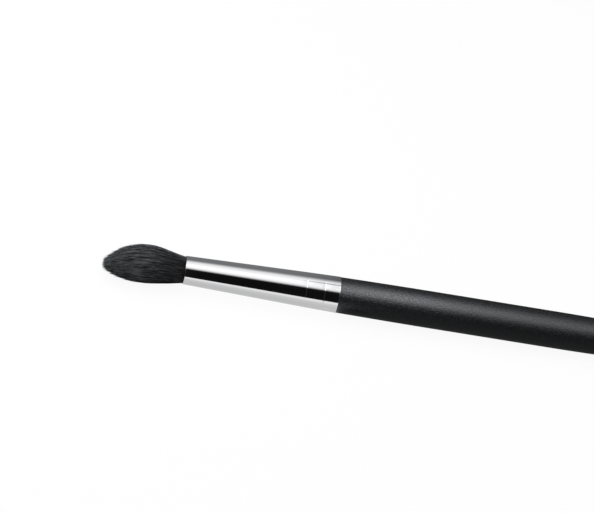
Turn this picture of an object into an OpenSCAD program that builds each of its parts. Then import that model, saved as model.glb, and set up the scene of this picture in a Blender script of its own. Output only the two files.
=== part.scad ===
// A round, tapered eyeshadow brush, lying on its side along X with its hair towards -X.
// Millimetres. The origin is under the middle of the brush, on the surface that it lies on.

/* [Hair] */
// Length of hair in front of the ferrule
hair_len = 19.8; // [16:0.1:24]
// Radius of the tuft where it is fattest
belly_r = 4.65; // [4:0.05:5.5]
// Distance from the ferrule's mouth to the fattest place
belly_at = 9.7; // [8:0.1:11]
// How far the tip leans away from the axis
tip_lean = 1.5; // [0:0.1:2]
// Direction of that lean, in degrees below the level, towards -Y
lean_angle = 45; // [0:1:90]
// Longest change in the length of single strands
strand_ragged = 0.35; // [0:0.05:0.5]

/* [Hair roots] */
// Length of hair inside the ferrule
root_len = 14; // [12:0.5:15]
// Thickness of the slice of roots that the strands stand on
slice_len = 1.5; // [1:0.1:3]
// Room between the roots and the ferrule at its mouth
hair_gap = 0.03; // [0.02:0.01:0.1]
// Diameter of the thread that ties the roots
thread_d = 0.35; // [0.3:0.01:0.4]
// Turns of the thread
thread_turns = 4; // [2:1:4]
// Distance from one turn to the next
thread_pitch = 0.8; // [0.8:0.05:0.9]
// Depth of the first turn behind the ferrule's mouth
thread_at = 9.4; // [9:0.1:9.6]
// How deep the thread pulls into the roots
tie_squeeze = 0.45; // [0.42:0.01:0.6]
// Depth at which the resin round the roots begins
resin_at = 8; // [6:0.1:8.5]
// Thickness of the resin behind the roots
resin_cap = 3; // [2:0.1:4]

/* [Ferrule] */
// Length of the ferrule
ferrule_len = 38.1; // [36:0.1:44]
// Outer radius at the mouth
mouth_r = 3.5; // [3.2:0.05:3.7]
// Outer radius at the front crimp
crimp_r = 4.29; // [4.2:0.01:4.35]
// Outer radius at the rear end
ferrule_rear_r = 4.46; // [4.42:0.01:4.6]
// Thickness of the metal
ferrule_wall = 0.25; // [0.2:0.01:0.3]
// Distance of the front crimp from the rear end
front_crimp = 8.1; // [7:0.1:9]
// Distance of the rear crimp from the rear end
rear_crimp = 3.6; // [2.5:0.1:5]
// Width of a crimp
crimp_w = 0.5; // [0.4:0.05:0.8]
// Depth of a crimp
crimp_depth = 0.12; // [0.08:0.01:0.16]
// Rounding of the ferrule's rear edge
rear_round = 0.12; // [0.05:0.01:0.18]

/* [Handle] */
// Length of handle behind the ferrule
handle_len = 118; // [90:1:150]
// Radius of the straight barrel
barrel_r = 4.53; // [4.48:0.01:5.2]
// Length of the swell between the ferrule and the barrel
swell_len = 25; // [15:1:30]
// Length of the straight barrel
barrel_len = 30; // [20:1:35]
// Radius where the taper meets the rounded tail
tail_r = 2.6; // [2:0.05:3.2]
// Length of the rounded tail
tail_len = 3.4; // [2.5:0.1:5]
// Step down from the ferrule's rear end to the handle
rear_step = 0.08; // [0.05:0.01:0.12]
// Thickness of the lacquer behind the ferrule
lacquer_t = 0.16; // [0.1:0.01:0.2]
// Thickness of the lacquer at the tail, where a dipped coat gathers
tail_lacquer_t = 0.22; // [0.1:0.01:0.25]
// Empty space between the resin and the handle's tenon
air_space = 3; // [2:0.1:4]
// Thickness of the glue round the tenon
glue_t = 0.1; // [0.08:0.01:0.15]
// Bare end of the tenon in front of the glue
glue_back = 1; // [0.5:0.1:2]
// Chamfer of the tenon's front edge
tenon_chamfer = 0.5; // [0.3:0.1:0.8]

/* [Hidden] */
$fn = 96;

bond_gap = 0.01; // hairline between pieces that are bonded to each other
total_len = hair_len + ferrule_len + handle_len;
mouth_x = hair_len - total_len / 2;
rear_x = mouth_x + ferrule_len;
tail_x = rear_x + handle_len;
axis_z = max(belly_r, barrel_r, ferrule_rear_r);
bore_r = mouth_r - ferrule_wall;
root_r = bore_r - hair_gap;

// Turns a profile of [radius, x] points round the brush's axis.
module turned(profile) {
    translate([0, 0, axis_z]) rotate([0, 90, 0]) rotate_extrude() polygon(profile);
}

// Hair
strand_rings = 8;          // rings of strands, with 6, 18, 30 and so on strands in them
belly_power = 1.36;        // how quickly the tuft swells behind its belly
nose_power = 0.65;         // 0.5 is an ellipse, and more is a sharper nose
gather_share = 0.3;        // how far the hair draws in from the belly to the tip
level_shares = [0, 0.35, 0.7, 0.9]; // places along a strand where it has a section
thin_shares = [1, 0.86, 0.8, 0.6];  // size of those sections against the strand's own cell
halvings = 16;             // steps of the search for a strand's end

// Radius of the outermost strand's path at a distance z in front of the mouth.
function guide_r(z) = z <= belly_at
    ? root_r + (belly_r / reach - root_r) * (1 - pow(1 - z / belly_at, belly_power))
    : belly_r / reach * (1 - gather_share * pow(nose(z), 2));
function nose(z) = (z - belly_at) / (hair_len - belly_at);
// Sideways lean of the tuft at that distance.
function lean(z) = z <= belly_at ? 0 : tip_lean * pow(nose(z), 2);
// Share of the nose at which a strand on the circle rho reaches the tuft's outline.
function nose_end(rho, low = 0, high = 1, step = 0) = step == halvings ? (low + high) / 2
    : let (mid = (low + high) / 2,
           inside = pow(1 - mid * mid, nose_power) > rho * (1 - gather_share * mid * mid))
      nose_end(rho, inside ? mid : low, inside ? high : mid, step + 1);

// Corners of the cells: ring j has 6 j of them, at a radius of j / strand_rings.
function ring_start(j) = j == 0 ? 0 : 1 + 3 * j * (j - 1);
function corner(j, i) = j == 0 ? 0 : ring_start(j) + i % (6 * j);
corners = [for (j = [0 : strand_rings]) for (i = [0 : max(6 * j, 1) - 1])
    let (a = j == 0 ? 0 : 60 * i / j) j / strand_rings * [cos(a), sin(a)]];
// A strand stands on each three-cornered cell between one ring and the next.
cells = [for (j = [1 : strand_rings]) for (q = [0 : 5]) each concat(
    [for (k = [0 : j - 1])
        [corner(j, q * j + k), corner(j, q * j + k + 1), corner(j - 1, q * (j - 1) + k)]],
    j == 1 ? [] : [for (k = [0 : j - 2])
        [corner(j - 1, q * (j - 1) + k), corner(j, q * j + k + 1), corner(j - 1, q * (j - 1) + k + 1)]])];
rim = 6 * strand_rings;

function middle(cell) = (corners[cell[0]] + corners[cell[1]] + corners[cell[2]]) / 3;
// How near the outline the outermost strands' own corners come, once they are thinned.
reach = let (cell = cells[len(cells) - 2 * strand_rings + 1], c = middle(cell))
    norm(c + thin_shares[2] * (corners[cell[0]] - c));
ragged = rands(-strand_ragged, strand_ragged, len(cells), 7);
lengths = [for (i = [0 : len(cells) - 1])
    belly_at + (hair_len - belly_at) * nose_end(norm(middle(cells[i])))
    - strand_ragged + ragged[i]];

// A point of the tuft: w is its place in the unit circle and z its distance from the mouth.
function in_tuft(w, z) = [mouth_x - z,
    guide_r(z) * w[0] - lean(z) * cos(lean_angle),
    axis_z + guide_r(z) * w[1] - lean(z) * sin(lean_angle)];

levels = len(level_shares);
per_strand = 3 * (levels - 1) + 1;
first_strand = len(corners);
first_back = first_strand + per_strand * len(cells);
function strand_points(i) = let (c = middle(cells[i])) concat(
    [for (k = [1 : levels - 1]) for (v = cells[i])
        in_tuft(c + thin_shares[k] * (corners[v] - c), level_shares[k] * lengths[i])],
    [in_tuft(c, lengths[i])]);
// Index of a strand's corner at a level. Level 0 is the shared corner of the cells.
function at(i, k, side) = k == 0 ? cells[i][side % 3]
    : first_strand + per_strand * i + 3 * (k - 1) + side % 3;
function strand_faces(i) = concat(
    [for (k = [0 : levels - 2]) for (s = [0 : 2]) each [
        [at(i, k, s), at(i, k, s + 1), at(i, k + 1, s)],
        [at(i, k, s + 1), at(i, k + 1, s + 1), at(i, k + 1, s)]]],
    [for (s = [0 : 2])
        [at(i, levels - 1, s), at(i, levels - 1, s + 1), first_strand + per_strand * (i + 1) - 1]]);
function back_faces() = let (edge = ring_start(strand_rings), centre = first_back + rim)
    [for (i = [0 : rim - 1]) let (n = (i + 1) % rim) each [
        [edge + i, first_back + i, edge + n],
        [edge + n, first_back + i, first_back + n],
        [first_back + i, centre, first_back + n]]];

module hair_tuft() {
    points = concat(
        [for (w = corners) in_tuft(w, 0)],
        [for (i = [0 : len(cells) - 1]) each strand_points(i)],
        [for (i = [0 : rim - 1]) in_tuft(corners[ring_start(strand_rings) + i], 0) + [slice_len, 0, 0]],
        [[mouth_x + slice_len, 0, axis_z]]);
    faces = concat([for (i = [0 : len(cells) - 1]) each strand_faces(i)], back_faces());
    color("#26272a") polyhedron(points, faces);
}

// Roots, thread and resin
tie_r = root_r - tie_squeeze;
rings_per_turn = 14;
thread_sides = 6;
tie_side = thread_d;       // bare root beside the first and the last turn
thread_r = (tie_r + thread_d / 2 + bond_gap) / cos(180 / rings_per_turn);
thread_rings = thread_turns * rings_per_turn;
thread_path = [for (i = [0 : thread_rings]) let (a = 360 * i / rings_per_turn)
    [mouth_x + thread_at + thread_pitch * i / rings_per_turn,
     thread_r * cos(a), axis_z + thread_r * sin(a)]];

module hair_roots() {
    tie_start = mouth_x + thread_at - thread_d / 2 - tie_side;
    tie_end = mouth_x + thread_at + thread_turns * thread_pitch + thread_d / 2 + tie_side;
    color("#1f2022") turned([
        [0, mouth_x + slice_len], [root_r, mouth_x + slice_len],
        [root_r, tie_start], [tie_r, tie_start + tie_squeeze / 2],
        [tie_r, tie_end - tie_squeeze / 2], [root_r, tie_end],
        [root_r, mouth_x + root_len], [0, mouth_x + root_len]]);
}

// Sweeps a round section along a path that winds about the axis.
module root_thread() {
    n = thread_sides;
    points = [for (i = [0 : thread_rings]) let (a = 360 * i / rings_per_turn) for (s = [0 : n - 1])
        let (b = 360 * s / n) thread_path[i]
            + thread_d / 2 * [cos(b), sin(b) * cos(a), sin(b) * sin(a)]];
    faces = concat(
        [for (i = [0 : thread_rings - 1]) for (s = [0 : n - 1]) let (t = (s + 1) % n) each [
            [n * i + s, n * i + t, n * (i + 1) + s],
            [n * i + t, n * (i + 1) + t, n * (i + 1) + s]]],
        [for (s = [1 : n - 2]) each [
            [0, s + 1, s],
            [n * thread_rings, n * thread_rings + s, n * thread_rings + s + 1]]]);
    color("#d8cfb8") polyhedron(points, faces);
}
echo(least_gap_between_turns = min([for (i = [0 : thread_rings]) for (j = [i : thread_rings])
    if (j - i > rings_per_turn / 2) norm(thread_path[i] - thread_path[j]) - thread_d]));

// Fills the ring between the roots and the ferrule, and caps the roots.
module resin_plug() {
    start = mouth_x + resin_at;
    roots_end = mouth_x + root_len + bond_gap;
    back = mouth_x + root_len + resin_cap;
    skin = ferrule_wall + bond_gap;
    color("#8a6a2c") turned([
        [root_r + bond_gap, start], [ferrule_r(start) - skin, start],
        [ferrule_r(back) - skin, back], [0, back],
        [0, roots_end], [root_r + bond_gap, roots_end]]);
}

// Ferrule
crimps = [rear_x - front_crimp, rear_x - rear_crimp];
crimp_steps = 6;
// Outer radius of the tube without its crimps.
function ferrule_r(x) = x <= crimps[0]
    ? mouth_r + (crimp_r - mouth_r) * (x - mouth_x) / (crimps[0] - mouth_x)
    : crimp_r + (ferrule_rear_r - crimp_r) * (x - crimps[0]) / (rear_x - crimps[0]);
// The tube's line of [radius, x] points between two places, drawn in by an inset, crimps and all.
function tube_line(from, to, inset) = concat(
    [[ferrule_r(from) - inset, from]],
    [for (c = crimps) for (k = [0 : crimp_steps])
        let (t = k / crimp_steps, x = c + crimp_w * (t - 1 / 2))
        if (x > from && x < to)
            [ferrule_r(x) - inset - crimp_depth * (1 - cos(360 * t)) / 2, x]],
    [[ferrule_r(to) - inset, to]]);
function flipped(list) = [for (i = [len(list) - 1 : -1 : 0]) list[i]];

// A thin tube whose mouth has a half round edge and whose rear end has a rounded one.
module ferrule() {
    lip = ferrule_wall / 2;
    lip_x = mouth_x + lip;
    end_x = rear_x - rear_round;
    steps = 4;
    color("#d9dadc") turned(concat(
        [for (k = [1 : 2 * steps - 1]) let (a = 90 * k / steps)
            [ferrule_r(lip_x) - lip - lip * cos(a), lip_x - lip * sin(a)]],
        tube_line(lip_x, end_x, 0),
        [for (k = [1 : steps]) let (a = 90 * k / steps)
            [ferrule_r(end_x) - rear_round * (1 - cos(a)), end_x + rear_round * sin(a)]],
        flipped(tube_line(lip_x, rear_x, ferrule_wall))));
}

// Handle
handle_front_r = ferrule_rear_r - rear_step;
taper_x = rear_x + swell_len + barrel_len;
tail_start = tail_x - tail_len;
swell_steps = 8;
taper_steps = 14;
tail_steps = 8;
taper_power = 1.7;         // how gently the taper leaves the barrel
tenon_x = mouth_x + root_len + resin_cap + air_space;
glue_out = ferrule_wall + bond_gap;
tenon_in = glue_out + glue_t + bond_gap;

// Thickness of the lacquer at a place along the handle.
function coat_t(x) = lacquer_t + (tail_lacquer_t - lacquer_t) * (x - rear_x) / handle_len;
// The handle's line of [radius, x] points from the ferrule to the tail: its outside with no
// coats, and the lacquer's inside with one. The gap draws it in further.
function handle_line(coats = 0, gap = 0) = let (tail_inset = coats * coat_t(tail_start) + gap) concat(
    [for (k = [0 : swell_steps]) let (t = k / swell_steps, x = rear_x + swell_len * t)
        [barrel_r - (barrel_r - handle_front_r) * pow(1 - t, 2) - coats * coat_t(x) - gap, x]],
    [for (k = [0 : taper_steps]) let (t = k / taper_steps, x = taper_x + (tail_start - taper_x) * t)
        [barrel_r - (barrel_r - tail_r) * pow(t, taper_power) - coats * coat_t(x) - gap, x]],
    [for (k = [1 : tail_steps]) let (a = 90 * k / tail_steps)
        [k == tail_steps ? 0 : (tail_r - tail_inset) * cos(a),
         tail_start + (tail_len - tail_inset) * sin(a)]]);

module tenon_glue() {
    from = tenon_x + glue_back;
    color("#c9bf9c") turned(concat(
        tube_line(from, rear_x - bond_gap, glue_out),
        flipped(tube_line(from, rear_x - bond_gap, glue_out + glue_t))));
}

// The wooden handle with its tenon, which fills the ferrule's rear and takes its crimps.
module handle_core() {
    color("#b98d5a") turned(concat(
        [[0, tenon_x], [ferrule_r(tenon_x) - tenon_in - tenon_chamfer, tenon_x]],
        tube_line(tenon_x + tenon_chamfer, rear_x, tenon_in),
        handle_line(1, bond_gap)));
}

module handle_lacquer() {
    color("#1b1b1c") turned(concat(handle_line(), flipped(handle_line(1))));
}

hair_tuft();
hair_roots();
root_thread();
resin_plug();
ferrule();
tenon_glue();
handle_core();
handle_lacquer();
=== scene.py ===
import math

import bmesh
import bpy
import numpy as np
from mathutils import Matrix, Vector


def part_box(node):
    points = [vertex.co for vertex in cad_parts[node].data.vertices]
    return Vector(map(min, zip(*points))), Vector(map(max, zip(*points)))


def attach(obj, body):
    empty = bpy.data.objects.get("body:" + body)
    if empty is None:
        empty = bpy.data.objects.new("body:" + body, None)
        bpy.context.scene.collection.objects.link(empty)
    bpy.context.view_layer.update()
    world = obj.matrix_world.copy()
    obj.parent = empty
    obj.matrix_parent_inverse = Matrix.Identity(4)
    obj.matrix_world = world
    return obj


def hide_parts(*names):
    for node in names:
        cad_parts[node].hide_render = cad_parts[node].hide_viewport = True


mm = 0.001
scene = bpy.context.scene
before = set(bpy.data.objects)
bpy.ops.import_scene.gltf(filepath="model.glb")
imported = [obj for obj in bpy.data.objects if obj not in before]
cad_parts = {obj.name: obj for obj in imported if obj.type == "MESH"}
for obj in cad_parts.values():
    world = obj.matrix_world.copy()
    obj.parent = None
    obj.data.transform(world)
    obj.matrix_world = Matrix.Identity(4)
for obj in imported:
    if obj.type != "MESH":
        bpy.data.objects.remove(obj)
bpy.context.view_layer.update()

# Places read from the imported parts, in metres
ferruleLow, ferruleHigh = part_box("ferrule")
mouthX = ferruleLow.x
rearX = ferruleHigh.x
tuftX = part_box("hair_tuft")[0].x
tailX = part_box("handle_lacquer")[1].x
axisZ = (ferruleLow.z + ferruleHigh.z) / 2
hairLen = (mouthX - tuftX) / mm  # in mm
print("packed parts loaded:", len(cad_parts))


# Camera: on the hair's side of the brush, high and far off
cameraSpec = {
    "lens": 300,  # mm, long, because the photograph hardly narrows towards the tail
    "sensor": 36,  # mm
    "clip": (0.01, 20),  # metres
    "elevation": 48,  # degrees above the floor
    "azimuth": -9,  # degrees round towards the hair
    "roll": 15.93,  # degrees, which slopes the brush down to the right
    "distance": 1212.7,  # mm from the point looked at
    "lookAt": (-40.74, 10.21),  # mm, x and y at the height of the brush's axis
}


def makeCamera(spec):
    data = bpy.data.cameras.new("camera")
    data.lens = spec["lens"]
    data.sensor_width = spec["sensor"]
    data.clip_start, data.clip_end = spec["clip"]
    cam = bpy.data.objects.new("camera", data)
    scene.collection.objects.link(cam)
    tilt = Matrix.Rotation(math.radians(90 - spec["elevation"]), 4, "X")
    turn = Matrix.Rotation(math.radians(spec["azimuth"]), 4, "Z")
    roll = Matrix.Rotation(math.radians(spec["roll"]), 4, "Z")
    look = Vector((spec["lookAt"][0] * mm, spec["lookAt"][1] * mm, axisZ))
    back = Matrix.Translation((0, 0, spec["distance"] * mm))
    cam.matrix_world = Matrix.Translation(look) @ turn @ tilt @ roll @ back
    scene.camera = cam
    print("camera placed")


makeCamera(cameraSpec)


def addMesh(name, verts, faces, smoothAngle=None, solid=False):
    mesh = bpy.data.meshes.new(name)
    mesh.from_pydata(verts, [], faces)
    mesh.validate()
    if solid:
        bm = bmesh.new()
        bm.from_mesh(mesh)
        bmesh.ops.recalc_face_normals(bm, faces=bm.faces)
        bm.to_mesh(mesh)
        bm.free()
    obj = bpy.data.objects.new(name, mesh)
    scene.collection.objects.link(obj)
    if smoothAngle is not None:
        mesh.shade_smooth()
        mesh.set_sharp_from_angle(angle=math.radians(smoothAngle))
    return obj


# Spins a line of (x, radius) points round the brush's axis. The optional dent gives how far the
# surface is pressed in at an x and an angle.
def turnedPiece(name, line, sides, dent=None, closed=False, smoothAngle=40):
    angles = np.arange(sides) * 2 * math.pi / sides
    verts, rings = [], []
    for x, r in line:
        start = len(verts)
        if r < 1e-7:  # a point on the axis
            verts.append((x, 0, axisZ))
            rings.append([start] * sides)
            continue
        radii = np.full(sides, r) - (dent(x, angles) if dent else 0)
        verts += zip([x] * sides, radii * np.cos(angles), axisZ + radii * np.sin(angles))
        rings.append(list(range(start, start + sides)))
    faces = []
    pairs = list(zip(rings, rings[1:])) + ([(rings[-1], rings[0])] if closed else [])
    for a, b in pairs:
        for i in range(sides):
            j = (i + 1) % sides
            face = [a[i], a[j], b[j], b[i]]
            faces.append([v for n, v in enumerate(face) if v != face[n - 1]])
    return addMesh(name, verts, faces, smoothAngle, solid=True)


def materialNodes(name):
    mat = bpy.data.materials.new(name)
    mat.use_nodes = True
    return mat, mat.node_tree.nodes, mat.node_tree.links, mat.node_tree.nodes["Principled BSDF"]


# Noise in the brush's own metres, stretched along its length if need be
def grain(nodes, links, perMetre, along=1.0, detail=2.0, place=None):
    place = place or nodes.new("ShaderNodeTexCoord").outputs["Object"]
    mapping = nodes.new("ShaderNodeMapping")
    mapping.inputs["Scale"].default_value = (along, 1, 1)
    tex = nodes.new("ShaderNodeTexNoise")
    tex.inputs["Scale"].default_value = perMetre
    tex.inputs["Detail"].default_value = detail
    links.new(place, mapping.inputs["Vector"])
    links.new(mapping.outputs["Vector"], tex.inputs["Vector"])
    return tex.outputs["Fac"]


def ranged(nodes, links, source, low, high, fromLow=0.3, fromHigh=0.7):
    node = nodes.new("ShaderNodeMapRange")
    node.inputs["From Min"].default_value = fromLow
    node.inputs["From Max"].default_value = fromHigh
    node.inputs["To Min"].default_value = low
    node.inputs["To Max"].default_value = high
    links.new(source, node.inputs["Value"])
    return node.outputs["Result"]


def twoColours(nodes, links, source, dark, light, fromLow=0.3, fromHigh=0.7):
    ramp = nodes.new("ShaderNodeValToRGB")
    ramp.color_ramp.elements[0].position = fromLow
    ramp.color_ramp.elements[0].color = (*dark, 1)
    ramp.color_ramp.elements[1].position = fromHigh
    ramp.color_ramp.elements[1].color = (*light, 1)
    links.new(source, ramp.inputs["Fac"])
    return ramp.outputs["Color"]


def bumped(nodes, links, shader, source, height):
    bump = nodes.new("ShaderNodeBump")
    bump.inputs["Strength"].default_value = 1
    bump.inputs["Distance"].default_value = height
    links.new(source, bump.inputs["Height"])
    links.new(bump.outputs["Normal"], shader.inputs["Normal"])


# Hair
hair = {
    "seed": 5,
    "strands": 6300,
    "sides": 4,
    "rings": 13,
    "ringPower": 0.9,  # under 1, the rings stand closer towards the tip
    "thickness": 0.086,  # mm across a hair
    "tipShare": 0.4,  # thickness at the very tip
    "taperFrom": 0.85,  # where along a hair its taper begins
    "twist": 1.5,  # radians that a hair turns, at most, along its length
    # the tuft's form
    "buried": 1.5,  # mm of each hair inside the ferrule
    "rootR": 3.22,  # mm, radius of the bundle in the ferrule's mouth
    "bellyR": 4.65,  # mm, radius where the tuft is fattest
    "bellyAt": 9.7,  # mm from the mouth to the fattest place
    "bellyPower": 1.45,  # the higher, the sooner the tuft swells
    "nosePower": 0.69,  # the higher, the more pointed the nose
    "gather": 0.18,  # how far the hair draws in between the belly and the tip
    "lean": 1.33,  # mm that the tip leans over
    "leanPower": 1.6,  # the higher, the nearer to the tip the lean begins
    "leanAngle": 45,  # degrees below the level
    # the ends
    "endShift": 0.6,  # mm by which all hairs run past the form, which their uneven ends take back
    "tipReach": 0.3,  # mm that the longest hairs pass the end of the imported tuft
    "clumpUneven": 0.28,  # mm by which the ends of clumps differ
    "hairUneven": 0.15,
    "early": 0.15,  # share of the hairs that end short, at any place on the surface
    "earlyLength": (0.55, 0.97),  # of their full length
    # how loosely it lies
    "rootJitter": 0.35,  # share of the space between hairs
    "clumps": 900,
    "clumpJitter": 0.4,  # share of the space between clumps
    "clumpPull": 0.5,  # how far hairs gather to the middle of their clump
    "pullPower": 0.8,
    "clumpSway": (0.022, 1.6),  # share of the tuft's radius that a clump wanders, and how quickly
    "hairSway": (0.016, 2.6),
    "swayWaves": (0.5, 1.3),
    "swayRise": 3,  # the sway is full after one part in so many of the tuft's length
    "loose": (0.03, 0.035),  # how far clumps and hairs stand out of the form, in shares of its radius
    "looseLimits": (0.95, 1.07),
    "looseFrom": 6,  # mm from the mouth to where they stand out in full
    # colour and finish
    "dark": (0.02, 0.02, 0.02),
    "light": (0.37, 0.385, 0.413),
    "tone": (0.4, 0.11, 0.15),  # place between dark and light, how much clumps differ, and hairs
    "paintedShade": ((0.0, 0.08), (0.08, 0.17), (0.25, 0.32), (0.4, 0.52), (0.6, 0.9), (0.78, 0.96),
              (0.95, 1.12)),  # painted shade from the mouth to the tip, partly the hair's own darker colour near the root
    "leastBehind": 0.58,  # painted shade on the far side goes no deeper than this, so that side is painted lighter
    "behind": (-0.7, 1.4),  # mm, the y between which that sets in
    "streaks": (0.25, 1.95),  # how far the colour varies in streaks: painted glints and painted shade between clumps, over tone that differs at random
    "streakSize": 2800,  # per metre across the hair
    "streakAlong": 0.17,
    "streakDetail": 3,
    "streakBand": (0.34, 0.66),  # part of the noise that makes the streaks
    "rough": (0.36, 0.6),
    "roughSize": 2500,
    "roughAlong": 0.12,
    "gloss": 0.2,
}
noseLen = hairLen - hair["bellyAt"]


def tuftRadius(z):  # radius of the outermost hair's path, z mm in front of the mouth
    swell = np.clip(1 - z / hair["bellyAt"], 0, 1)
    behind = hair["rootR"] + (hair["bellyR"] - hair["rootR"]) * (1 - swell ** hair["bellyPower"])
    nose = np.clip((z - hair["bellyAt"]) / noseLen, 0, 1)
    return np.where(nose > 0, hair["bellyR"] * (1 - hair["gather"] * nose**2), behind)


def noseEnd(rho):  # share of the nose at which a hair on the circle rho meets the outline
    low, high = np.zeros_like(rho), np.ones_like(rho)
    for _ in range(20):  # halved until the two agree
        mid = (low + high) / 2
        inside = (1 - mid**2) ** hair["nosePower"] > rho * (1 - hair["gather"] * mid**2)
        low, high = np.where(inside, mid, low), np.where(inside, high, mid)
    return (low + high) / 2


def sunflower(count):  # even points in the unit circle
    i = np.arange(count) + 0.5
    angle = i * math.pi * (3 - math.sqrt(5))
    return np.sqrt(i / count)[:, None] * np.stack([np.cos(angle), np.sin(angle)], 1)


def hairEnds(rng, rho, clump):  # mm from the mouth to the end of each hair
    count, clumps = hair["strands"], hair["clumps"]
    longest = hairLen + hair["tipReach"]
    ends = np.minimum(hair["bellyAt"] + noseLen * noseEnd(rho) + hair["endShift"], longest)
    ends += rng.normal(0, hair["hairUneven"], count) + rng.normal(0, hair["clumpUneven"], clumps)[clump]
    ends = np.minimum(ends, longest)
    early = rng.random(count) < hair["early"]
    return np.where(early, ends * rng.uniform(*hair["earlyLength"], count), ends)


def hairPlaces(rng, roots, middles, clump, along):  # where the rings lie in the unit circle
    pull = hair["clumpPull"] * along ** hair["pullPower"]
    place = roots[:, None, :] * (1 - pull[..., None]) + middles[clump][:, None, :] * pull[..., None]
    for (size, fast), owners in ((hair["clumpSway"], clump), (hair["hairSway"], np.arange(len(roots)))):
        waves = rng.uniform(*hair["swayWaves"], (owners.max() + 1, 2))[owners][:, None, :] * fast
        phase = rng.uniform(0, 2 * math.pi, (owners.max() + 1, 2))[owners][:, None, :]
        swing = np.sin(2 * math.pi * waves * along[..., None] + phase) - np.sin(phase)
        place = place + size * swing * np.clip(along * hair["swayRise"], 0, 1)[..., None]
    return place


def growHair():
    rng = np.random.default_rng(hair["seed"])
    count, rings, clumps = hair["strands"], hair["rings"], hair["clumps"]
    roots = sunflower(count) + rng.normal(0, hair["rootJitter"] / math.sqrt(count), (count, 2))
    middles = sunflower(clumps) + rng.normal(0, hair["clumpJitter"] / math.sqrt(clumps), (clumps, 2))
    clump = np.argmin(((roots[:, None, :] - middles[None]) ** 2).sum(2), axis=1)
    rho = np.minimum(np.linalg.norm(roots, axis=1), 1)
    ends = hairEnds(rng, rho, clump)
    steps = np.linspace(0, 1, rings) ** hair["ringPower"]
    z = -hair["buried"] + (ends[:, None] + hair["buried"]) * steps[None, :]
    place = hairPlaces(rng, roots, middles, clump, np.clip(z / hairLen, 0, 1))

    # No hair lies further out than the tuft's edge, which is uneven
    clumpLoose, hairLoose = hair["loose"]
    edge = 1 + clumpLoose * rng.normal(size=clumps)[clump] + hairLoose * rng.normal(size=count)
    edge = 1 + (np.clip(edge, *hair["looseLimits"])[:, None] - 1) * np.clip(z / hair["looseFrom"], 0, 1)
    place *= np.minimum(1, edge / np.maximum(np.linalg.norm(place, axis=2), 1e-6))[..., None]

    radius = tuftRadius(z)
    lean = hair["lean"] * np.maximum((z - hair["bellyAt"]) / noseLen, 0) ** hair["leanPower"]
    angle = math.radians(hair["leanAngle"])
    path = np.empty((count, rings, 3))
    path[..., 0] = mouthX - z * mm
    path[..., 1] = (radius * place[..., 0] - lean * math.cos(angle)) * mm
    path[..., 2] = axisZ + (radius * place[..., 1] - lean * math.sin(angle)) * mm
    path[..., 2] = np.maximum(path[..., 2], hair["thickness"] / 2 * mm)  # none goes into the floor

    thin = np.clip((steps - hair["taperFrom"]) / (1 - hair["taperFrom"]), 0, 1)
    width = hair["thickness"] / 2 * mm * (1 - (1 - hair["tipShare"]) * thin)
    middle, clumpTone, hairTone = hair["tone"]
    tone = middle + clumpTone * rng.normal(size=clumps)[clump] + hairTone * rng.normal(size=count)
    flow = np.concatenate([z[..., None], np.repeat(roots[:, None, :] * hair["bellyR"], rings, 1)], 2) * mm
    twist = rng.uniform(0, math.pi, (count, 1)) + rng.uniform(-1, 1, (count, 1)) * hair["twist"] * steps
    order = np.argsort(rho)
    return path[order], width, np.clip(tone, 0, 1)[order], flow[order], twist[order]


def strandPiece(name, path, width, tone, flow, twist, mat):
    count, rings = path.shape[:2]
    sides = hair["sides"]
    around = twist[:, :-1, None] + np.arange(sides) * 2 * math.pi / sides
    offset = np.stack([np.zeros_like(around), np.cos(around), np.sin(around)], 3)
    body = path[:, :-1, None, :] + offset * width[None, :-1, None, None]
    verts = np.concatenate([body.reshape(count, -1, 3), path[:, -1:, :]], axis=1)
    perStrand = verts.shape[1]
    side = []
    for ring in range(rings - 2):
        low, high = ring * sides, (ring + 1) * sides
        for s in range(sides):
            t = (s + 1) % sides
            side.append((low + s, low + t, high + t, high + s))
    last = (rings - 2) * sides
    tips = [(last + s, last + (s + 1) % sides, perStrand - 1) for s in range(sides)]
    start = np.arange(count)[:, None, None] * perStrand
    quads = (np.array(side)[None] + start).reshape(-1, 4).tolist()
    points = (np.array(tips)[None] + start).reshape(-1, 3).tolist()
    base = (np.arange(sides)[::-1][None, None] + start).reshape(-1, sides).tolist()
    obj = addMesh(name, verts.reshape(-1, 3).tolist(), quads + points + base, smoothAngle=80)

    # For the material: each hair's tone, and its place in the bundle for the streaks of painted glint and
    # shade
    tones = obj.data.attributes.new("tone", "FLOAT", "POINT")
    tones.data.foreach_set("value", np.repeat(tone, perStrand).astype(np.float32))
    flows = np.concatenate([np.repeat(flow[:, :-1], sides, 1), flow[:, -1:]], 1)
    placed = obj.data.attributes.new("flow", "FLOAT_VECTOR", "POINT")
    placed.data.foreach_set("vector", flows.reshape(-1).astype(np.float32))
    obj.data.materials.append(mat)
    return obj


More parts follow.
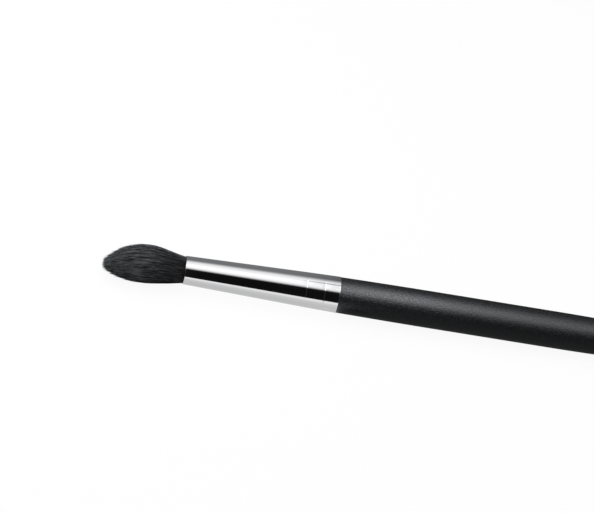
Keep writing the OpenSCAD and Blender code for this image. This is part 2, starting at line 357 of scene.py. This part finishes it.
def hairMaterial():
    mat, nodes, links, shader = materialNodes("charcoal hair")
    tone = nodes.new("ShaderNodeAttribute")
    tone.attribute_name = "tone"
    colour = twoColours(nodes, links, tone.outputs["Fac"], hair["dark"], hair["light"], 0, 1)
    coords = nodes.new("ShaderNodeTexCoord")
    split = nodes.new("ShaderNodeSeparateXYZ")
    links.new(coords.outputs["Object"], split.inputs["Vector"])
    share = ranged(nodes, links, split.outputs["X"], 0, 1, mouthX, tuftX)
    paintedShade = nodes.new("ShaderNodeValToRGB")  # painted shade, partly the hair's own colour: the hair is darker towards the ferrule
    stops = paintedShade.color_ramp.elements
    while len(stops) < len(hair["paintedShade"]):
        stops.new(0.5)
    for stop, (place, level) in zip(stops, hair["paintedShade"]):
        stop.position = place
        stop.color = (level, level, level, 1)
    links.new(share, paintedShade.inputs["Fac"])
    # painted light: the far side of the tuft is kept lighter than the near side
    start, end = hair["behind"]
    least = ranged(nodes, links, split.outputs["Y"], 0, hair["leastBehind"], start * mm, end * mm)
    shaded = nodes.new("ShaderNodeMath")
    shaded.operation = "MAXIMUM"
    links.new(paintedShade.outputs["Color"], shaded.inputs[0])
    links.new(least, shaded.inputs[1])
    flow = nodes.new("ShaderNodeAttribute")
    flow.attribute_name = "flow"
    # painted glints and painted shade in streaks along the hair, with tone that differs at random
    look = hair["streakSize"], hair["streakAlong"], hair["streakDetail"]
    streaks = grain(nodes, links, *look, flow.outputs["Vector"])
    streaks = ranged(nodes, links, streaks, *hair["streaks"], *hair["streakBand"])
    for factor in (shaded.outputs["Value"], streaks):
        deepen = nodes.new("ShaderNodeVectorMath")
        deepen.operation = "MULTIPLY"
        links.new(colour, deepen.inputs[0])
        links.new(factor, deepen.inputs[1])
        colour = deepen.outputs["Vector"]
    links.new(colour, shader.inputs["Base Color"])
    dull = grain(nodes, links, hair["roughSize"], hair["roughAlong"])
    links.new(ranged(nodes, links, dull, *hair["rough"]), shader.inputs["Roughness"])
    shader.inputs["Specular IOR Level"].default_value = hair["gloss"]
    return mat


def makeHair():
    mat = hairMaterial()
    path, width, tone, flow, twist = growHair()
    names = ("hair_inner", "hair_middle", "hair_outer")
    share = -(-len(path) // len(names))
    for n, name in enumerate(names):
        own = slice(n * share, (n + 1) * share)
        piece = strandPiece(name, path[own], width, tone[own], flow[own], twist[own], mat)
        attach(piece, "root")
        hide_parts("hair_tuft")
    print("hair grown:", hair["strands"], "hairs")


makeHair()


# Ferrule: sizes in mm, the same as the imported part's but for finer crimps and a finer rear edge
ferrule = {
    "mouthR": 3.5,
    "crimpR": 4.29,
    "rearR": 4.46,
    "wall": 0.25,
    "lipSteps": 8,
    "rearRound": 0.06,
    "rearSteps": 5,
    "crimpsFromRear": (8.1, 3.6),
    "crimpWidth": 0.3,
    "crimpDepth": 0.02,
    "crimpShare": ((0, 1), (6, 1), (18, 0.1), (84, 0.1), (96, 1), (360, 1)),  # of it, by degrees round
    "crimpSteps": 16,
    "jawMarks": 4,  # fine lengthwise marks that the crimping jaws leave
    "jawMarkFrom": 100.4,  # degrees, place of the first mark
    "jawMarkLead": 0.4,  # how far they begin before the first crimp
    "jawMarkWidth": 0.28,
    "jawMarkDepth": (0.04, 0.08),  # at their front and at the rear edge
    "rings": 24,
    "ringGap": 0.3,  # rings closer than this to the others are left out
    "endRings": (0.02, 0.06, 0.2, 0.6),  # rings this near the ends keep the reflections straight there
    "sides": 700,
    "colour": (0.69, 0.69, 0.7),
    "rough": (0.05, 0.11),
    "drawnSize": 4000,  # per metre across the marks of drawing the tube
    "drawnAlong": 0.004,
}


def ferruleRadius(x):  # outer radius in metres, with no crimps
    crimp = rearX - ferrule["crimpsFromRear"][0] * mm
    return np.interp(x, [mouthX, crimp, rearX], [ferrule[k] * mm for k in ("mouthR", "crimpR", "rearR")])


def ferruleLine(inset):
    start, end = mouthX + ferrule["wall"] / 2 * mm, rearX - ferrule["rearRound"] * mm
    xs = [start, end]
    for back in ferrule["crimpsFromRear"]:
        centre, half = rearX - back * mm, ferrule["crimpWidth"] / 2 * mm
        xs += list(np.linspace(centre - half, centre + half, ferrule["crimpSteps"] + 1))
    for near in ferrule["endRings"]:
        xs += [start + near * mm, end - near * mm]
    gap = ferrule["ringGap"] * mm
    xs += [x for x in np.linspace(start, end, ferrule["rings"])[1:-1] if min(abs(x - np.array(xs))) > gap]
    xs = np.array(sorted(xs))
    return list(zip(xs, ferruleRadius(xs) - inset))


def crimps(x, angles):  # one of the four jaws pressed less
    depth = 0
    for back in ferrule["crimpsFromRear"]:
        share = np.clip((x - rearX + back * mm) / (ferrule["crimpWidth"] * mm) + 0.5, 0, 1)
        depth += ferrule["crimpDepth"] * mm * (1 - math.cos(2 * math.pi * share)) / 2
    return depth * np.interp(np.degrees(angles), *zip(*ferrule["crimpShare"]))


def jawMarks(x, angles):
    back = (rearX - x) / mm
    first = ferrule["crimpsFromRear"][0] + ferrule["jawMarkLead"]
    if back > first:
        return 0
    step = 360 / ferrule["jawMarks"]
    off = (np.degrees(angles) - ferrule["jawMarkFrom"] + step / 2) % step - step / 2
    reach = np.abs(np.radians(off)) * ferruleRadius(x) / (ferrule["jawMarkWidth"] / 2 * mm)
    depth = np.interp(back, [0, first], ferrule["jawMarkDepth"][::-1]) * mm
    return depth * (1 + np.cos(math.pi * np.clip(reach, 0, 1))) / 2


def pressed(x, angles):
    return crimps(x, angles) + jawMarks(x, angles)


def makeFerrule():
    wall, rounding = ferrule["wall"] * mm, ferrule["rearRound"] * mm
    outside = ferruleLine(0)
    lipX, endX = outside[0][0], outside[-1][0]
    lip, rear = [], []
    for a in np.linspace(0, math.pi, ferrule["lipSteps"] + 1)[1:-1]:
        lip.append((lipX - wall / 2 * math.sin(a), ferruleRadius(lipX) - wall / 2 * (1 + math.cos(a))))
    for a in np.linspace(0, math.pi / 2, ferrule["rearSteps"] + 1)[1:]:
        rear.append((endX + rounding * math.sin(a), ferruleRadius(endX) - rounding * (1 - math.cos(a))))
    inside = [(rearX, ferruleRadius(rearX) - wall)] + ferruleLine(wall)[:-1][::-1]
    line = lip + outside + rear + inside
    piece = turnedPiece("ferrule_tube", line, ferrule["sides"], pressed, closed=True)
    mat, nodes, links, shader = materialNodes("polished nickel")
    shader.inputs["Metallic"].default_value = 1
    shader.inputs["Base Color"].default_value = (*ferrule["colour"], 1)
    drawn = grain(nodes, links, ferrule["drawnSize"], ferrule["drawnAlong"])
    links.new(ranged(nodes, links, drawn, *ferrule["rough"]), shader.inputs["Roughness"])
    piece.data.materials.append(mat)
    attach(piece, "root")
    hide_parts("ferrule")
    print("ferrule turned")


makeFerrule()


# Handle: sizes in mm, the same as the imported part's
handle = {
    "frontR": 4.38,
    "barrelR": 4.53,
    "swellLen": 25,
    "barrelLen": 30,
    "tailR": 2.6,
    "tailLen": 3.4,
    "taperPower": 1.7,
    "coatFront": 0.16,
    "coatTail": 0.22,
    "swellRings": 24,
    "taperRings": 70,
    "tailSteps": 21,
    "sides": 192,
    "colour": (0.0112, 0.0115, 0.0122),
    "rough": (0.215, 0.49),
    "roughSize": 4400,  # per metre
    "gloss": 1,
    "shine": (0.92, 0.95, 1.0),
    "grainSize": 4000,  # per metre
    "grainHeight": 0.00009,  # metres
}


def handleLine(coats):  # outside with no coats, inside of the lacquer with one
    barrel, front, tail = handle["barrelR"] * mm, handle["frontR"] * mm, handle["tailR"] * mm
    taperX = rearX + (handle["swellLen"] + handle["barrelLen"]) * mm
    tailStart = tailX - handle["tailLen"] * mm

    def coat(x):
        return coats * mm * np.interp(x, [rearX, tailX], [handle["coatFront"], handle["coatTail"]])

    line = []
    for t in np.linspace(0, 1, handle["swellRings"]):
        x = rearX + handle["swellLen"] * mm * t
        line.append((x, barrel - (barrel - front) * (1 - t) ** 2 - coat(x)))
    for t in np.linspace(0, 1, handle["taperRings"]):
        x = taperX + (tailStart - taperX) * t
        line.append((x, barrel - (barrel - tail) * t ** handle["taperPower"] - coat(x)))
    inset = coat(tailStart)
    length = handle["tailLen"] * mm - inset
    for a in np.linspace(0, math.pi / 2, handle["tailSteps"] + 1)[1:-1]:
        line.append((tailStart + length * math.sin(a), (tail - inset) * math.cos(a)))
    return line + [(tailX - inset, 0)]


def makeHandle():
    piece = turnedPiece("handle_coat", handleLine(1)[::-1] + handleLine(0), handle["sides"])
    mat, nodes, links, shader = materialNodes("satin black lacquer")
    shader.inputs["Base Color"].default_value = (*handle["colour"], 1)
    sparkle = grain(nodes, links, handle["roughSize"])
    links.new(ranged(nodes, links, sparkle, *handle["rough"]), shader.inputs["Roughness"])
    shader.inputs["Specular IOR Level"].default_value = handle["gloss"]
    shader.inputs["Specular Tint"].default_value = (*handle["shine"], 1)
    speckle = grain(nodes, links, handle["grainSize"])
    bumped(nodes, links, shader, speckle, handle["grainHeight"])
    piece.data.materials.append(mat)
    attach(piece, "root")
    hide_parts("handle_lacquer")
    print("handle turned")


makeHandle()


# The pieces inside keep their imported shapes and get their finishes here. A grain's size is given per
# metre, and its height in metres.
insideFinishes = {
    "hair_roots": {
        "name": "bound hair", "dark": (0.008, 0.008, 0.009), "light": (0.03, 0.03, 0.033), "rough": 0.6,
        "grainSize": 5000, "along": 0.02, "height": 0.00002,
    },
    "root_thread": {
        "name": "waxed thread", "dark": (0.45, 0.40, 0.30), "light": (0.70, 0.64, 0.50), "rough": 0.7,
        "grainSize": 9000, "along": 1.0, "height": 0.00002,
    },
    "resin_plug": {
        "name": "set resin", "dark": (0.22, 0.12, 0.03), "light": (0.34, 0.20, 0.06), "rough": 0.25,
        "grainSize": 700, "along": 1.0, "height": 0.0,
    },
    "tenon_glue": {
        "name": "set glue", "dark": (0.50, 0.43, 0.28), "light": (0.62, 0.54, 0.37), "rough": 0.5,
        "grainSize": 1200, "along": 1.0, "height": 0.0,
    },
    "handle_core": {
        "name": "turned birch", "dark": (0.42, 0.25, 0.11), "light": (0.60, 0.40, 0.20), "rough": 0.6,
        "grainSize": 1800, "along": 0.05, "height": 0.00002,
    },
}


def dressInside():
    for node, finish in insideFinishes.items():
        mat, nodes, links, shader = materialNodes(finish["name"])
        spots = grain(nodes, links, finish["grainSize"], finish["along"])
        colour = twoColours(nodes, links, spots, finish["dark"], finish["light"])
        links.new(colour, shader.inputs["Base Color"])
        shader.inputs["Roughness"].default_value = finish["rough"]
        if finish["height"]:
            bumped(nodes, links, shader, spots, finish["height"])
        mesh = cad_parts[node].data
        mesh.materials.clear()
        mesh.materials.append(mat)
    print("inner pieces dressed")


dressInside()


# Studio: a pale floor, a soft panel overhead, a grey card behind, a black flag in front and a clear key
# card close over the handle, which bend round the brush's axis. Angles are degrees from the floor in
# front, over the top. Strips just above the floor are what the brush's sides mirror. Each glow is a
# list of places and strengths.
studio = {
    "halfLength": 0.5,  # metres, of the cards and strips
    "cardSteps": 48,
    "cardPlaces": 61,
    "panelReach": 0.25,  # metres from the brush
    "panelGlow": ((58, 0.0), (61.5, 0.15), (71, 1.08), (83, 1.4), (90, 1.9), (98, 1.8), (106, 1.28),
                  (122, 1.15), (129, 0.8), (137, 0.48), (146, 0.23)),
    "panelTail": ((58, 0.0), (61.5, 0.35), (71, 1.15), (83, 1.35), (92, 1.25), (100, 1.0), (108, 0.72),
                  (122, 0.33), (137, 0.13), (146, 0.08)),  # over the handle
    "tailFrom": ((-0.004, 0.0), (0.02, 1.0)),
    "panelFade": ((-0.02, 1.0), (0.0, 0.85), (0.03, 0.75), (0.1, 0.6)),  # it darkens towards the tail
    "panelMost": ((-0.1, 1.9), (-0.05, 1.6), (-0.034, 1.5), (-0.024, 1.42), (-0.016, 1.33), (-0.006, 1.2)),
    "cardReach": 0.255,
    "cardAngles": (144, 181),
    "cardTint": (0.955, 0.97, 1.0),
    "cardGlow": ((-0.047, 0.235), (-0.035, 0.2), (-0.0302, 0.16), (-0.029, 0.05), (0.048, 0.045),
                 (0.055, 0.2)),
    "flagReach": 0.08,
    "flagAngles": (-3.2, 59),
    "flagGlow": ((-0.082, 0.05), (-0.07, 0.006), (-0.022, 0.006), (-0.017, 0.04)),
    "keyReach": 0.06,
    "keyGlow": ((60, 0.0), (69, 0.6), (80, 1.0), (90, 1.1), (100, 1.0), (108, 0.7), (122, 0.2), (135, 0.0)),
    "keyFade": ((-0.0235, 0.0), (-0.0195, 7.5), (-0.013, 2.6), (-0.003, 1.1), (0.012, 0.6), (0.03, 0.5),
                (0.1, 0.3), (0.14, 0.0)),
    "stripHeight": 0.3,  # mm above the floor
    "stripNear": 2,  # mm from the brush's axis
    "stripFront": 78,  # mm that they reach in front
    "stripBack": 260,
    "stripRows": 60,
    "stripPlaces": 40,
    "handleGap": 0.3,  # mm behind the ferrule, where the strips for the handle begin
    "drift": 0.105,  # how far towards the tail a mirrored ray runs for each metre out
    "mouthGap": 1,  # mm in front of the mouth, where those for the ferrule begin
    "mouthDrift": 0.03,
    "tailGap": 2,  # mm behind the tail
    "hairStrip": 0.02,
    # pale_strip glows like the pale floor far out and less near the brush: a painted shadow of the brush on
    # the floor, which only the ferrule's reflection shows
    "paleGlowAndPaintedShadow": ((-60, 1.08), (-33, 1.12), (-20, 1.02), (-16, 0.85), (-10, 0.77), (-7, 0.72), (-5, 0.7)),
    "darkStrip": 0.12,
    "darkBehind": ((3, 0), (9, 1)),  # share of it at so many mm behind its start
    "darkNear": ((6.5, 1), (9, 0)),  # share of it at so many mm from the brush
    "backDark": 0.045,
    "worldForLight": 0.22,
    "floorHalf": 3,  # metres
    "floorColour": (0.11, 0.11, 0.11),
    "floorRough": 0.9,
    "floorLift": 0.93,  # what the camera sees of the floor, beside its own colour
}


def fade(points, x):
    return np.interp(x, *zip(*points))


def stageCard(name, verts, faces, values, clear=False, tint=(1, 1, 1)):
    obj = addMesh(name, verts, faces)
    shine = obj.data.attributes.new("glow", "FLOAT", "POINT")
    shine.data.foreach_set("value", values)
    obj.visible_camera = False
    mat = bpy.data.materials.new(name)
    mat.use_nodes = True
    nodes, links = mat.node_tree.nodes, mat.node_tree.links
    nodes.clear()
    out = nodes.new("ShaderNodeOutputMaterial")
    lamp = nodes.new("ShaderNodeEmission")
    lamp.inputs["Color"].default_value = (*tint, 1)
    level = nodes.new("ShaderNodeAttribute")
    level.attribute_name = "glow"
    links.new(level.outputs["Fac"], lamp.inputs["Strength"])
    links.new(lamp.outputs["Emission"], out.inputs["Surface"])
    if clear:  # adds its light to what stands behind it
        both = nodes.new("ShaderNodeAddShader")
        links.new(lamp.outputs["Emission"], both.inputs[0])
        links.new(nodes.new("ShaderNodeBsdfTransparent").outputs["BSDF"], both.inputs[1])
        links.new(both.outputs["Shader"], out.inputs["Surface"])
    obj.data.materials.append(mat)
    return obj


def gridFaces(rows, wide):
    corners = [row * wide + k for row in range(rows - 1) for k in range(wide - 1)]
    return [(a, a + 1, a + wide + 1, a + wide) for a in corners]


def archStrip(name, fromAngle, toAngle, reach, glow, clear=False, tint=(1, 1, 1)):
    angles = np.linspace(fromAngle, toAngle, studio["cardSteps"] + 1)
    places = studio["halfLength"] * np.linspace(-1, 1, studio["cardPlaces"]) ** 3
    verts, values = [], []
    for angle in angles:
        a = math.radians(angle)
        for x in places:
            verts.append((x, -reach * math.cos(a), axisZ + reach * math.sin(a)))
            values.append(float(glow(angle, x)))
    return stageCard(name, verts, gridFaces(len(angles), len(places)), values, clear, tint)


def groundStrip(name, start, end, near, far, glow, tint=(1, 1, 1)):  # start and end may slant with y
    ys = np.linspace(near * mm, far * mm, studio["stripRows"])
    wide = studio["stripPlaces"]
    if callable(start):  # the places lie closest together at the slanting end
        spread = np.linspace(0, 1, wide) ** 3
    else:
        spread = 1 - np.linspace(1, 0, wide) ** 3
    verts = []
    for y in ys:
        first, last = [x(y) if callable(x) else x for x in (start, end)]
        verts += [(x, y, studio["stripHeight"] * mm) for x in first + (last - first) * spread]
    values = [float(glow(x, y)) for x, y, _ in verts]
    return stageCard(name, verts, gridFaces(len(ys), wide), values, tint=tint)


def panelLight(angle, x):
    tail = fade(studio["tailFrom"], x)
    level = min(fade(studio["panelGlow"], angle), fade(studio["panelMost"], x)) * (1 - tail)
    return (level + fade(studio["panelTail"], angle) * tail) * fade(studio["panelFade"], x)


def handleStart(y):
    return rearX + studio["handleGap"] * mm + studio["drift"] * abs(y)


def mouthStart(y):
    return mouthX - studio["mouthGap"] * mm + studio["mouthDrift"] * abs(y)


def cardLight(x, y):
    return fade(studio["cardGlow"], x - studio["drift"] * abs(y))


def greyLight(angle, x):
    return cardLight(x, studio["panelReach"] * math.cos(math.radians(angle)))


def flagLight(angle, x):
    return fade(studio["flagGlow"], x)


def keyLight(angle, x):
    return fade(studio["keyGlow"], angle) * fade(studio["keyFade"], x)


def hairLight(x, y):
    return studio["hairStrip"]


# painted shadow: the strip's glow falls towards the brush
def paleLight(x, y):
    return fade(studio["paleGlowAndPaintedShadow"], y / mm)


def darkLight(x, y):
    behind = fade(studio["darkBehind"], (x - handleStart(y)) / mm)
    return studio["darkStrip"] * max(behind, fade(studio["darkNear"], abs(y) / mm))


def backLight(x, y):
    return studio["backDark"]


def makeCards():
    half, near, front, back = [studio[k] for k in ("halfLength", "stripNear", "stripFront", "stripBack")]
    panelAngles = studio["panelGlow"][0][0], studio["panelGlow"][-1][0]
    keyAngles = studio["keyGlow"][0][0], studio["keyGlow"][-1][0]
    tint = studio["cardTint"]
    archStrip("soft_panel", *panelAngles, studio["panelReach"], panelLight)
    onlyMirrored = [
        archStrip("black_flag", *studio["flagAngles"], studio["flagReach"], flagLight),
        archStrip("grey_card", *studio["cardAngles"], studio["cardReach"], greyLight, tint=tint),
        archStrip("handle_key", *keyAngles, studio["keyReach"], keyLight, clear=True),
        groundStrip("hair_strip", -half, mouthStart, near, -front, hairLight),
        groundStrip("pale_strip", mouthStart, handleStart, -near, -front, paleLight),
        groundStrip("dark_strip", handleStart, half, -near, -front, darkLight),
        groundStrip("back_strip", -half, handleStart, near, back, cardLight, tint=tint),
        groundStrip("back_dark", handleStart, half, near, back, backLight),
        groundStrip("tail_dark", tailX + studio["tailGap"] * mm, half, -near, near, backLight),
    ]
    for obj in onlyMirrored:
        obj.visible_diffuse = False
        obj.visible_shadow = False


def seenDirectly(nodes, links):  # 1 for what the camera, metal or glass sees
    path = nodes.new("ShaderNodeLightPath")
    total = path.outputs["Is Camera Ray"]
    for ray in ("Is Glossy Ray", "Is Transmission Ray"):
        either = nodes.new("ShaderNodeMath")
        either.operation = "MAXIMUM"
        links.new(total, either.inputs[0])
        links.new(path.outputs[ray], either.inputs[1])
        total = either.outputs["Value"]
    return total


def makeFloor():
    half = studio["floorHalf"]
    corners = [(-half, -half, 0), (half, -half, 0), (half, half, 0), (-half, half, 0)]
    floor = addMesh("floor", corners, [(0, 1, 2, 3)])
    mat, nodes, links, shader = materialNodes("pale floor")
    shader.inputs["Base Color"].default_value = (*studio["floorColour"], 1)
    shader.inputs["Roughness"].default_value = studio["floorRough"]
    shader.inputs["Specular IOR Level"].default_value = 0
    shader.inputs["Emission Color"].default_value = (1, 1, 1, 1)
    lift = ranged(nodes, links, seenDirectly(nodes, links), 0, studio["floorLift"], 0, 1)
    links.new(lift, shader.inputs["Emission Strength"])
    floor.data.materials.append(mat)


def makeWorld():
    world = bpy.data.worlds.new("world")
    scene.world = world
    world.use_nodes = True
    nodes, links = world.node_tree.nodes, world.node_tree.links
    sky = nodes["Background"]
    sky.inputs["Color"].default_value = (1, 1, 1, 1)
    level = ranged(nodes, links, seenDirectly(nodes, links), studio["worldForLight"], 1, 0, 1)
    links.new(level, sky.inputs["Strength"])
    scene.view_settings.view_transform = "Standard"


makeCards()
makeFloor()
makeWorld()
print("studio set")
